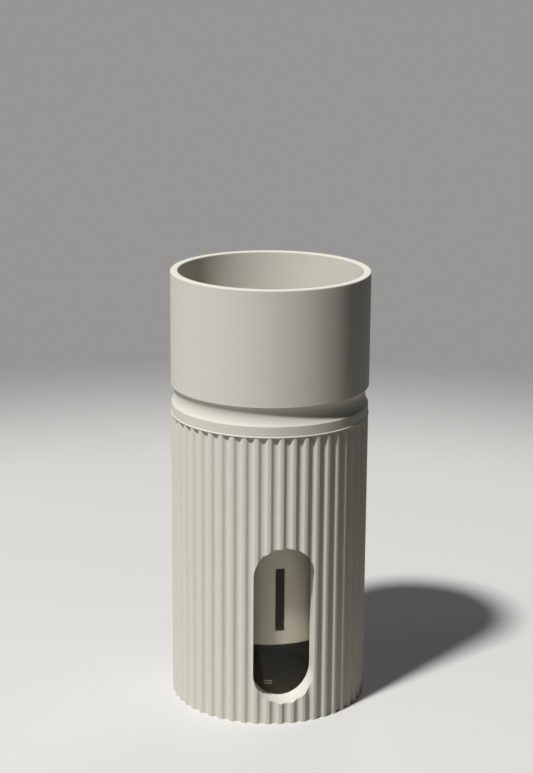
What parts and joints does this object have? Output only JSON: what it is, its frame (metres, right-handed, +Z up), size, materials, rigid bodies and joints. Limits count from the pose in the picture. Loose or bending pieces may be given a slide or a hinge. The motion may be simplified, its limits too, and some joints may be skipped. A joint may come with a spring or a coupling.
{
  "type": "self-watering plant pot",
  "caption": "Cylindrical self-watering planter: a smooth cup with a cove groove on a fluted sleeve, whose window shows a clear water tank and a hanging slotted basket.",
  "frame": {"origin": "centre of the base, on the surface that the pot stands on", "axes": "+Z up along the pot's axis, -Y out of the level window"},
  "size_m": [0.08, 0.08, 0.178],
  "materials": {
    "sleeve_plastic": "matte print with fine level layer lines",
    "tank_smoke": "smooth, clear, smoked",
    "cup_plastic": "matte print with fine level layer lines",
    "basket_plastic": "matte print with fine level layer lines"
  },
  "bodies": {
    "sleeve": {"fluted_sleeve": "sleeve_plastic"},
    "tank": {"water_tank": "tank_smoke"},
    "cup": {"planter_cup": "cup_plastic"},
    "basket": {"basket": "basket_plastic"}
  },
  "joints": [
    {"name": "tank_lift", "type": "slide", "parent": "sleeve", "child": "tank", "axis": [0, 0, 1], "range_m": [0, 0.12]},
    {"name": "cup_lift", "type": "slide", "parent": "tank", "child": "cup", "axis": [0, 0, 1], "range_m": [0, 0.095]},
    {"name": "basket_lift", "type": "slide", "parent": "cup", "child": "basket", "axis": [0, 0, 1], "range_m": [0, 0.15]}
  ]
}
